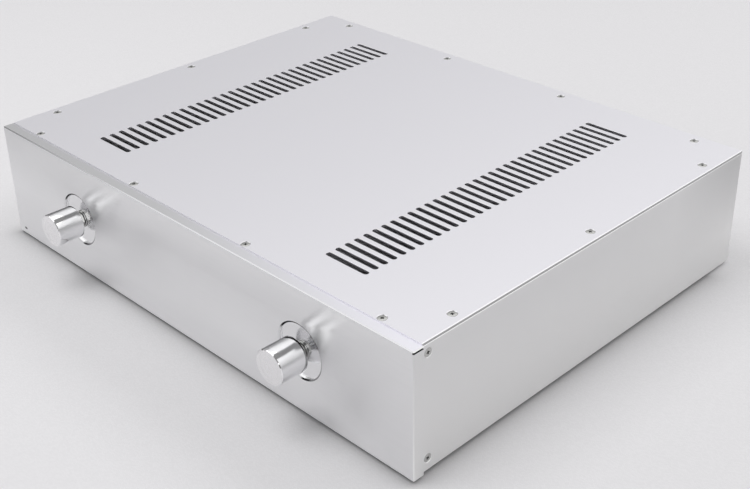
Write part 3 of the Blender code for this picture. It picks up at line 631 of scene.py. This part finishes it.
# %% Bright cuts, plating and oxide
for slot, name, colour, smoothest, roughest, size, detail in (
    # a clean line of light along an edge
    ("bright_cut", "diamond_cut_aluminium", "#E8E8EA", 0.20, 0.30, GRAIN, 2.0),
    # greyer than the aluminium round it, with a wet shine
    ("screw_steel", "zinc_plated_steel", "#BDBDBB", 0.14, 0.26, 0.8 * MM, 2.0),
    # nearly black, with a dull gleam
    ("grub_steel", "black_oxide_steel", "#3A3A3D", 0.38, 0.55, 0.4 * MM, 2.0),
    # cloudy, as thin pressed sheet is
    ("can_steel", "pressed_zinc_plated_steel", "#B4B5B7", 0.32, 0.48, 1.5 * MM, 3.0),
    # a darker mirror than the knob in front of it
    ("nut_brass", "nickel_plated_brass", "#CCCCCB", 0.15, 0.25, 0.6 * MM, 2.0),
):
    tree, shader, place = start_finish(slot, name)
    grain = add(tree, "ShaderNodeTexNoise", {
        "Vector": place, "Scale": 1 / size, "Detail": detail,
    }).outputs["Fac"]
    rough = add(tree, "ShaderNodeMapRange", {
        "Value": grain, "To Min": smoothest, "To Max": roughest,
    }).outputs[0]
    feed(shader, {"Base Color": linear(colour), "Roughness": rough})
print("finishes so far", len(finishes))

# %% [markdown]
# ### Knobs and shafts
#
# A lathe leaves rings round a bar, and polishing leaves almost nothing of them. Noise that only
# changes along the bar's axis gives both. The real rings are about 0.1 mm apart, too fine to
# show, so they are drawn three or four times as coarse.
#
# The knobs get a painted shade along their upper silhouette. A metal's specular tint colours
# only what is seen at a grazing angle, so a dark tint where the surface faces up paints that
# line. A dark stripe of base colour would also show from above.

# %% Turn the shaft, turn and polish the knobs
turned = {}
for slot, name, colour, smoothest, roughest, ring in (
    # a bright mirror
    ("polished_knob", "turned_polished_aluminium", "#F9F9FA", 0.05, 0.11, 0.4 * MM),
    # a softer, greyer one
    ("shaft_steel", "turned_steel", "#C4C5C7", 0.16, 0.30, 0.3 * MM),
):
    tree, shader, place = start_finish(slot, name)
    along = add(tree, "ShaderNodeSeparateXYZ", {0: place}).outputs["Y"]
    rings = add(tree, "ShaderNodeTexNoise", {
        "W": along, "Scale": 1 / ring, "Detail": 2.0,
    }, noise_dimensions="1D").outputs["Fac"]
    rough = add(tree, "ShaderNodeMapRange", {
        "Value": rings, "To Min": smoothest, "To Max": roughest,
    }).outputs[0]
    feed(shader, {"Base Color": linear(colour), "Roughness": rough})
    turned[slot] = (tree, shader)

tree, shader = turned["polished_knob"]
# painted shade: a dark specular tint where the knob faces up
normal = add(tree, "ShaderNodeNewGeometry").outputs["Normal"]
upward = add(tree, "ShaderNodeSeparateXYZ", {0: normal}).outputs["Z"]
painted_shade_tint = add(tree, "ShaderNodeMix", {
    "Factor": upward, "A": linear("#FFFFFF"), "B": linear("#48484A"),
}, data_type="RGBA").outputs["Result"]
feed(shader, {"Specular Tint": painted_shade_tint})
print("turned", sorted(turned))

# %% [markdown]
# ### Turned faces
#
# The floors of the recesses and the knobs' ends were faced off on a lathe or with a milling
# cutter. The rings that the tool leaves blur a reflection outwards from the centre, so the
# tangent is the direction from the axis. Each knob has its own axis, so it has its own material:
# one that both shared would have to find the nearer axis first.

# %% Face the knobs' ends and the recesses
RING = 0.4 * MM  # drawn coarser than the real 0.1 mm, which the picture can't hold


def middle_of(name):
    """The middle of a node's box."""
    box_low, box_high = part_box(name)
    return (box_low + box_high) / 2


def turned_face(slot, name, axis, colour, smoothest, roughest, anisotropy):
    """Rings about an axis along Y, between two roughnesses."""
    tree, shader, place = start_finish(slot, name)
    from_axis = add(tree, "ShaderNodeMapping", {
        "Vector": place, "Location": (-axis.x, 0, -axis.z), "Scale": (1, 0, 1),
    }).outputs[0]
    radius = add(tree, "ShaderNodeVectorMath", {0: from_axis}, operation="LENGTH").outputs["Value"]
    rings = add(tree, "ShaderNodeTexNoise", {
        "W": radius, "Scale": 1 / RING, "Detail": 2.0,
    }, noise_dimensions="1D").outputs["Fac"]
    rough = add(tree, "ShaderNodeMapRange", {
        "Value": rings, "To Min": smoothest, "To Max": roughest,
    }).outputs[0]
    outwards = add(tree, "ShaderNodeVectorTransform", {
        0: from_axis,
    }, vector_type="VECTOR", convert_from="OBJECT", convert_to="WORLD").outputs[0]
    feed(shader, {
        "Base Color": linear(colour), "Roughness": rough, "Anisotropic": anisotropy,
        "Tangent": outwards,
    })


knob_axis = {side: middle_of(f"{side}_knob") for side in ("left", "right")}
for side, axis in knob_axis.items():
    # the recess mirrors the knob, the knob's end only glows
    turned_face(f"{side}_recess", f"faced_aluminium_{side}_recess", axis, "#F0F0F1",
        0.10, 0.16, anisotropy=0.3)
    turned_face(f"{side}_knob_end", f"faced_aluminium_{side}_knob_end", axis, "#F4F3F4",
        0.24, 0.32, anisotropy=0.5)
    print(side, "axis", [round(part / MM, 1) for part in axis], "mm")

# %% [markdown]
# ### Rims of the recesses
#
# The rim of a recess slopes towards its floor. Its tone is painted light and shade: a painted
# highlight on the left, grey on the right, and a painted shade, nearly black, on the upper side
# and at one spot below. Painting the mesh would do it too, but the tone follows the angle about
# the knob's axis, and an angle can be read from the object's own coordinates and looked up in a
# colour ramp.

# %% Paint light and shade on the rims by angle, from -180 to 180 degrees with 0 on the right
RIM_ROUGHNESS = 0.3
RIM_PAINTED_TONES = [
    (-180, "#E4E4E5"), (-92, "#E4E4E5"), (-86, "#161617"), (-70, "#161617"), (-62, "#8C8C8D"),
    (-40, "#9A9A9B"), (20, "#9A9A9B"), (44, "#2A2A2B"), (56, "#0C0C0D"), (142, "#0C0C0D"),
    (152, "#E4E4E5"),
]  # seen from the front

for side, axis in knob_axis.items():
    # a thin line of painted light and shade, black and white
    tree, shader, place = start_finish(f"{side}_rim", f"milled_{side}_recess_rim")
    from_axis = add(tree, "ShaderNodeMapping", {
        "Vector": place, "Location": (-axis.x, 0, -axis.z),
    }).outputs[0]
    parts = add(tree, "ShaderNodeSeparateXYZ", {0: from_axis}).outputs
    angle = add(tree, "ShaderNodeMath", {
        0: parts["Z"], 1: parts["X"],
    }, operation="ARCTAN2").outputs[0]
    share = add(tree, "ShaderNodeMapRange", {
        "Value": angle, "From Min": -math.pi, "From Max": math.pi,
    }).outputs[0]
    ramp = add(tree, "ShaderNodeValToRGB", {"Fac": share})
    stops = ramp.color_ramp.elements
    while len(stops) < len(RIM_PAINTED_TONES):
        stops.new(1)
    for stop, (degrees, tone) in zip(stops, RIM_PAINTED_TONES):
        stop.position = (degrees + 180) / 360
        stop.color = linear(tone)
    feed(shader, {"Base Color": ramp.outputs["Color"], "Roughness": RIM_ROUGHNESS})
print("rims", len(RIM_PAINTED_TONES), "tones")

# %% [markdown]
# ### Rubber feet
#
# The feet are moulded black rubber. A mould's surface is slightly pitted, so it never shines
# even though it is smooth. A shallow bump gives that better than a change of colour would.

# %% Pit the rubber
# soft, matt and dark
tree, shader, place = start_finish("foot_rubber", "moulded_black_rubber", metallic=0.0)
pits = add(tree, "ShaderNodeTexNoise", {
    "Vector": place, "Scale": 1 / GRAIN, "Detail": 3.0,
}).outputs["Fac"]
dents = add(tree, "ShaderNodeBump", {
    "Height": pits, "Strength": 0.3, "Distance": 0.05 * MM,
}).outputs[0]
feed(shader, {"Base Color": linear("#262626"), "Roughness": 0.8, "Normal": dents})
print("finishes", sorted(finishes))

# %% Give every CAD node its finish
for node in nodes.values():
    for slot in node.material_slots:
        slot.material = finishes[slot.material.name]
print(len(nodes), "nodes dressed")

# %% [markdown]
# ## Tools for remaking pieces
#
# The CAD solids are faceted, which a mirror finish would show, and they leave out bevels under
# a millimetre. The pieces whose roundness or edges show are remade. A round piece is half of its
# section, drawn once and spun about its axis. A plate is a block with its edges bevelled. Holes
# are cut out of it with round tools, as a mill would cut them, and the faces that a tool leaves
# keep the tool's material. So one cut makes both the recess and its finish.

# %% Round and square shapes
SMOOTH_ANGLE = math.radians(30)
MERGE = 1e-7  # metres
HOLE_STEPS = 32


def spun(profile, steps):
    """A closed solid of revolution about Z, from points (radius, height)."""
    bm = bmesh.new()
    points = [bm.verts.new((radius, 0, height)) for radius, height in profile]
    lines = [bm.edges.new(pair) for pair in zip(points, points[1:])]
    bmesh.ops.spin(bm, geom=points + lines, axis=(0, 0, 1), cent=(0, 0, 0), angle=math.tau,
        steps=steps, use_merge=True)
    bmesh.ops.remove_doubles(bm, verts=bm.verts, dist=MERGE)
    bmesh.ops.recalc_face_normals(bm, faces=bm.faces)
    return bm


def rod(radius, bottom, top, steps=HOLE_STEPS):
    """A round bar about Z."""
    return spun([(0, bottom), (radius, bottom), (radius, top), (0, top)], steps)


def block_between(low, high):
    """A box from its lowest to its highest corner."""
    bm = bmesh.new()
    size = Matrix.Diagonal((high - low).to_4d())
    bmesh.ops.create_cube(bm, size=1, matrix=Matrix.Translation((low + high) / 2) @ size)
    return bm


def moved(bm, *matrices):
    """The shape after each of these transforms in turn."""
    for matrix in matrices:
        bmesh.ops.transform(bm, matrix=matrix, verts=bm.verts)
    return bm


print("edges sharper than", round(math.degrees(SMOOTH_ANGLE)), "degrees stay sharp")


# %% From a shape to a piece, and cuts
def piece_from(bm, name, *slots):
    """An object of this shape at the origin, smooth except at its real edges."""
    mesh = bpy.data.meshes.new(name)
    bm.to_mesh(mesh)
    bm.free()
    mesh.shade_smooth()
    mesh.set_sharp_from_angle(angle=SMOOTH_ANGLE)
    for slot in slots:
        mesh.materials.append(finishes[slot])
    piece = bpy.data.objects.new(name, mesh)
    bpy.context.scene.collection.objects.link(piece)
    return piece


def join(bm, shape):
    """Adds a second shape to a bmesh."""
    carrier = bpy.data.meshes.new("carrier")
    shape.to_mesh(carrier)
    shape.free()
    bm.from_mesh(carrier)
    bpy.data.meshes.remove(carrier)


def cut(piece, tools):
    """Takes each tool's shape out of the piece, then removes the tools."""
    for tool in tools:
        change = piece.modifiers.new(tool.name, "BOOLEAN")
        change.operation = "DIFFERENCE"
        change.solver = "EXACT"
        change.material_mode = "TRANSFER"
        change.object = tool
    graph = bpy.context.evaluated_depsgraph_get()
    mesh = bpy.data.meshes.new_from_object(piece.evaluated_get(graph))
    piece.modifiers.clear()
    uncut = piece.data
    name = uncut.name
    piece.data = mesh
    bpy.data.meshes.remove(uncut)
    mesh.name = name
    mesh.shade_smooth()
    mesh.set_sharp_from_angle(angle=SMOOTH_ANGLE)
    for tool in tools:
        bpy.data.objects.remove(tool)


TO_FRONT = Matrix.Rotation(math.pi / 2, 4, "X")  # turns a shape about Z to face the front
OVERCUT = 0.5 * MM  # how far a tool reaches past what it cuts
print("tools overcut by", OVERCUT / MM, "mm")

# %% [markdown]
# ## Knobs
#
# Each knob is turned from a solid bar: a plain cylinder with a small break at its front edge,
# a blind bore for the shaft, and a cross hole for the grub screw. A cylinder primitive would
# have no break, and the break is the fine line round the knob's end. The section is drawn from
# its rear end to its front face and spun, and the hole is cut last, as it is on the real one.

# %% Turn the knobs
KNOB_STEPS = 160  # enough for a mirror
SHAFT_BORE = 3.1 * MM
BORE_DEPTH = 14.3 * MM
FRONT_BREAK = 0.5 * MM
REAR_BREAK = 0.15 * MM
GRUB_HOLE = 1.6 * MM
GRUB_STEPS = 24
GRUB_SETBACK = 5 * MM  # from the knob's rear face

for side, axis in knob_axis.items():
    low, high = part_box(f"{side}_knob")
    radius = (high.x - low.x) / 2
    length = high.y - low.y
    bar = spun([
        (SHAFT_BORE, 0), (radius - REAR_BREAK, 0), (radius, REAR_BREAK),
        (radius, length - FRONT_BREAK), (radius - FRONT_BREAK, length), (0, length),
        (0, BORE_DEPTH), (SHAFT_BORE, BORE_DEPTH), (SHAFT_BORE, 0),
    ], KNOB_STEPS)
    for face in bar.faces:
        if face.calc_center_median().z > length - FRONT_BREAK / 10:
            face.material_index = 1  # the end
    moved(bar, TO_FRONT, Matrix.Translation((axis.x, high.y, axis.z)))
    knob = piece_from(bar, f"{side}_knob_turned", "polished_knob", f"{side}_knob_end")
    hole = rod(GRUB_HOLE, -radius - FRONT_BREAK, 0, GRUB_STEPS)
    moved(hole, Matrix.Translation((axis.x, high.y - GRUB_SETBACK, axis.z)))
    cut(knob, [piece_from(hole, f"{side}_grub_tool", "polished_knob")])
    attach(knob, nodes[f"{side}_knob"]["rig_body"])
    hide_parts(f"{side}_knob")
    print(knob.name, len(knob.data.polygons), "faces")

# %% [markdown]
# ## Front panel
#
# The panel is cut from 8 mm plate. Its front edges are bevelled, then each recess is milled, with
# a sloping rim and a small radius where its wall meets its floor. Behind each recess there is
# a hole for the control's bushing and one for the peg that keeps it from turning, and from
# behind come the blind holes of the panel's own screws. A plain block with a bevel modifier
# would soften every edge alike. Here only the front edges are cut, and each face gets the finish
# of the tool that made it.

# %% Bevel the plate
PANEL_BEVEL = 0.6 * MM
CLOSING = 0.28 * MM  # closes the clearance that the CAD keeps in front of the cover
BEVEL, TOP, END = 1, 2, 3  # the piece's materials after the brushed one

low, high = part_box("front_panel")
plate = block_between(low, Vector((high.x, high.y + CLOSING, high.z)))
front_edges = [
    edge for edge in plate.edges if any(vert.co.y < low.y + OVERCUT for vert in edge.verts)
]
bevelled = bmesh.ops.bevel(plate, geom=front_edges, offset=PANEL_BEVEL, segments=1, profile=0.5,
    affect="EDGES", material=-1)
for face in bevelled["faces"]:
    face.material_index = BEVEL
for face in plate.faces:
    if face.normal.z > 0.9:
        face.material_index = TOP
    if abs(face.normal.x) > 0.5:
        face.material_index = END
panel = piece_from(plate, "front_panel_milled",
    "brushed_panel", "panel_bevel", "panel_top", "satin_case")
print(panel.name, "starts with", len(panel.data.polygons), "faces")

# %% Make the tools for the recesses
RECESS_STEPS = 160
RECESS_RADIUS = 20 * MM
RECESS_DEPTH = 2 * MM
RIM_WIDTH = 1.1 * MM
RIM_DEPTH = 0.5 * MM
RECESS_CORNER = 0.8 * MM
BUSHING_HOLE = 3.6 * MM
PEG_HOLE = 1.4 * MM
PEG_OFFSET = 6.5 * MM
PEG_DEPTH = 2.3 * MM

wall = RECESS_RADIUS - RIM_WIDTH
behind = low.y - high.y - OVERCUT
bend = [math.radians(degrees) for degrees in range(0, 91, 15)]
corner = [
    (
        wall - RECESS_CORNER * (1 - math.cos(angle)),
        RECESS_CORNER * (1 - math.sin(angle)) - RECESS_DEPTH,
    )
    for angle in bend
]
panel_tools = []
for side, axis in knob_axis.items():
    recess = spun([
        (0, OVERCUT), (RECESS_RADIUS, OVERCUT), (RECESS_RADIUS, 0), (wall, -RIM_DEPTH), *corner,
        (0, -RECESS_DEPTH),
    ], RECESS_STEPS)
    for face in recess.faces:
        middle = face.calc_center_median()
        if -RIM_DEPTH < middle.z < 0 and wall < math.hypot(middle.x, middle.y) < RECESS_RADIUS:
            face.material_index = 1  # the rim's slope
    bushing = rod(BUSHING_HOLE, behind, OVERCUT)
    peg = rod(PEG_HOLE, behind, behind + OVERCUT + PEG_DEPTH)
    moved(peg, Matrix.Translation((0, PEG_OFFSET, 0)))
    for shape, name in ((recess, "recess"), (bushing, "bushing"), (peg, "peg")):
        moved(shape, TO_FRONT, Matrix.Translation((axis.x, low.y, axis.z)))
        panel_tools.append(
            piece_from(shape, f"{side}_{name}_tool", f"{side}_recess", f"{side}_rim"))
print(len(panel_tools), "tools for the recesses")

# %% Add the screw holes and the grooves, then cut
SCREW_HOLE = 2.1 * MM
SCREW_ROOM = 0.28 * MM  # beyond the screw's tip
GROOVE_DEPTH = 0.9 * MM
GROOVE_HEIGHT = 1.2 * MM

for side in knob_axis:
    for end in ("top", "bottom"):
        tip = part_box(f"panel_screw_{side}_{end}")[0].y
        middle = middle_of(f"panel_screw_{side}_{end}")
        hole = rod(SCREW_HOLE, -OVERCUT, high.y - tip + SCREW_ROOM)
        moved(hole, TO_FRONT, Matrix.Translation((middle.x, high.y, middle.z)))
        panel_tools.append(piece_from(hole, f"{side}_{end}_screw_tool", "mill_aluminium"))
    outer = high.x if side == "right" else low.x
    top = high.z - PANEL_BEVEL
    groove = block_between(Vector((outer - GROOVE_DEPTH, low.y - OVERCUT, top - GROOVE_HEIGHT)),
        Vector((outer + GROOVE_DEPTH, high.y + OVERCUT, top)))
    # the groove's faces get the painted shadow
    panel_tools.append(piece_from(groove, f"{side}_groove_tool", "shadow_line"))
cut(panel, panel_tools)
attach(panel, nodes["front_panel"]["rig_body"])
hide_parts("front_panel")
print(panel.name, len(panel.data.polygons), "faces")

# %% [markdown]
# ## Cover
#
# The cover is sheared from 2 mm sheet, then the slots, countersinks and top edges are machined,
# and last it is blasted. Each slot is one pass of a milling cutter. So the cutter's own profile,
# with a small break at the top, is spun, and its two halves are pulled apart lengthwise. An
# array modifier could repeat it, but the slots are placed from the screws, row by row, so that
# they stay where the CAD has them. All slots are cut at once, and all countersinks at once.

# %% Shear the sheet and bevel its edges
COVER_BEVEL = 0.45 * MM
BRIGHT, SHEARED = 1, 2  # the piece's materials after the blasted one

low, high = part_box("top_cover")
sheet = block_between(low, high)
top_edges = [
    edge for edge in sheet.edges
    if all(vert.co.z > high.z - OVERCUT for vert in edge.verts)
    and any(vert.co.y > low.y + OVERCUT for vert in edge.verts)
]
for face in sheet.faces:
    if abs(face.normal.z) < 0.5 and face.normal.y > -0.5:
        face.material_index = SHEARED
bevelled = bmesh.ops.bevel(sheet, geom=top_edges, offset=COVER_BEVEL, segments=1, profile=0.5,
    affect="EDGES", material=-1)
for face in bevelled["faces"]:
    face.material_index = BRIGHT
cover = piece_from(sheet, "top_cover_machined", "blasted_cover", "bright_cut", "sheared_edge")
print(cover.name, "starts with", len(cover.data.polygons), "faces")

# %% Make the slot cutters
SLOT_LENGTH = 36 * MM
SLOT_RADIUS = 2 * MM
SLOT_BREAK = 0.15 * MM
SLOT_STEPS = 24
SLOTS_IN_GROUP = 34
GROUP_INSET = 90.8 * MM  # from the cover's side edge
ROW_END = 27.65 * MM  # from the front and back rows of screws

first = middle_of("cover_screw_front_1").y + ROW_END
last = middle_of("cover_screw_back_1").y - ROW_END
pitch = (last - first) / (SLOTS_IN_GROUP - 1)
reach = SLOT_LENGTH / 2 - SLOT_RADIUS
below = low.z - high.z - OVERCUT
half_step = Matrix.Rotation(math.pi / SLOT_STEPS, 4, "Z")  # no corner lies where the halves part
slots = bmesh.new()
for side in (-1, 1):
    for number in range(SLOTS_IN_GROUP):
        cutter = spun([
            (0, below), (SLOT_RADIUS, below), (SLOT_RADIUS, -SLOT_BREAK),
            (SLOT_RADIUS + SLOT_BREAK, 0), (SLOT_RADIUS + SLOT_BREAK, OVERCUT), (0, OVERCUT),
        ], SLOT_STEPS)
        moved(cutter, half_step)
        for vert in cutter.verts:
            if abs(vert.co.x) > SLOT_RADIUS / 100:
                vert.co.x += math.copysign(reach, vert.co.x)
        x = side * ((high.x - low.x) / 2 - GROUP_INSET)
        join(slots, moved(cutter, Matrix.Translation((x, first + number * pitch, high.z))))
slot_tools = piece_from(slots, "slot_tools", "blasted_cover")
print(2 * SLOTS_IN_GROUP, "slots, pitch", round(pitch / MM, 3), "mm")

# %% Make the countersinks and cut the cover
SINK = 3.3 * MM
CLEARANCE_HOLE = 1.6 * MM

drills = bmesh.new()
for name in nodes:
    if name.startswith("cover_screw"):
        drill = spun([
            (0, OVERCUT), (SINK, OVERCUT), (SINK, 0), (CLEARANCE_HOLE, CLEARANCE_HOLE - SINK),
            (CLEARANCE_HOLE, below), (0, below),
        ], HOLE_STEPS)
        middle = middle_of(name)
        join(drills, moved(drill, Matrix.Translation((middle.x, middle.y, high.z))))
cut(cover, [slot_tools, piece_from(drills, "drill_tools", "bright_cut")])
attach(cover, nodes["top_cover"]["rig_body"])
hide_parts("top_cover")
print(cover.name, len(cover.data.polygons), "faces")

# %% [markdown]
# ## Screws
#
# The screws are M3 with a countersunk head and a cross recess. A real head sits a hair below the
# sheet, and its rim is slightly rounded, which is what catches the light. The profile is spun,
# and the recess is cut with two tapered bars. Nobody lines screws up, so each one stops at its
# own angle. The same screw turned over or on its side makes the bottom, back and side screws.

# %% Make the screws
SCREW_STEPS = 32
HEAD_RADIUS = 3.0 * MM
HEAD_SUNK = 0.12 * MM
HEAD_ROUND = 0.25 * MM
THREAD_RADIUS = 1.5 * MM
SCREW_LENGTH = 8 * MM
CROSS_SPAN = 3.0 * MM
CROSS_WIDTH = 0.9 * MM
CROSS_DEPTH = 1.2 * MM
CROSS_TAPER = (0.5, 0.6, 1)  # the bars' size at the bottom
STOP_ANGLE = math.radians(37)  # from one screw to the next

rim = -HEAD_SUNK - HEAD_ROUND
cone = HEAD_RADIUS - THREAD_RADIUS
head = [
    (0, -HEAD_SUNK), (HEAD_RADIUS - HEAD_ROUND, -HEAD_SUNK),
    (HEAD_RADIUS - HEAD_ROUND / 3, -HEAD_SUNK - HEAD_ROUND / 3), (HEAD_RADIUS, rim),
    (THREAD_RADIUS, rim - cone), (THREAD_RADIUS, -SCREW_LENGTH), (0, -SCREW_LENGTH),
]
facings = {
    "cover_screw": Matrix.Identity(4),
    "bottom_screw": Matrix.Rotation(math.pi, 4, "X"),
    "back_screw": Matrix.Rotation(-math.pi / 2, 4, "X"),
    "side_screw_left": Matrix.Rotation(-math.pi / 2, 4, "Y"),
    "side_screw_right": Matrix.Rotation(math.pi / 2, 4, "Y"),
}
made = 0
for name in list(nodes):
    facing = next((matrix for prefix, matrix in facings.items() if name.startswith(prefix)), None)
    if not facing:
        continue
    middle = Matrix.Translation(middle_of(name))
    seat = middle @ facing @ Matrix.Translation((0, 0, SCREW_LENGTH / 2))
    stopped = seat @ Matrix.Rotation(STOP_ANGLE * made, 4, "Z")
    screw = piece_from(moved(spun(head, SCREW_STEPS), stopped), f"{name}_head", "screw_steel")
    arms = []
    for angle in (0, math.pi / 2):
        bar = block_between(Vector((-CROSS_SPAN / 2, -CROSS_WIDTH / 2, -CROSS_DEPTH)),
            Vector((CROSS_SPAN / 2, CROSS_WIDTH / 2, OVERCUT)))
        bottom = [vert for vert in bar.verts if vert.co.z < 0]
        bmesh.ops.scale(bar, vec=CROSS_TAPER, verts=bottom)
        moved(bar, Matrix.Rotation(angle, 4, "Z"), stopped)
        # the cross recess's faces get the painted shadow
        arms.append(piece_from(bar, f"{name}_arm", "shadow_line"))
    cut(screw, arms)
    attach(screw, nodes[name]["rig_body"])
    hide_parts(name)
    made += 1
print(made, "screws")

# %% [markdown]
# ## Feet
#
# The feet are low moulded pads that stick to the bottom plate. A mould needs a slope and rounded
# edges to let the pad go, so the pad widens in three steps from the table up. It hardly shows,
# but it keeps the line of shadow under the case from looking cut with a knife.

# %% Mould the feet
FOOT_STEPS = 64
FOOT_PROFILE = ((0.93, 0), (0.97, 0.1), (1, 0.35), (1, 1))  # shares of its radius and height

for name in [node for node in nodes if node.startswith("foot_")]:
    low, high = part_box(name)
    radius, height = (high.x - low.x) / 2, high.z - low.z
    wall = [(radius * across, height * above) for across, above in FOOT_PROFILE]
    pad = spun([(0, 0), *wall, (0, height)], FOOT_STEPS)
    middle = middle_of(name)
    moved(pad, Matrix.Translation((middle.x, middle.y, low.z)))
    foot = piece_from(pad, f"{name}_moulded", "foot_rubber")
    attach(foot, nodes[name]["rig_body"])
    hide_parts(name)
    print(foot.name, len(foot.data.polygons), "faces")
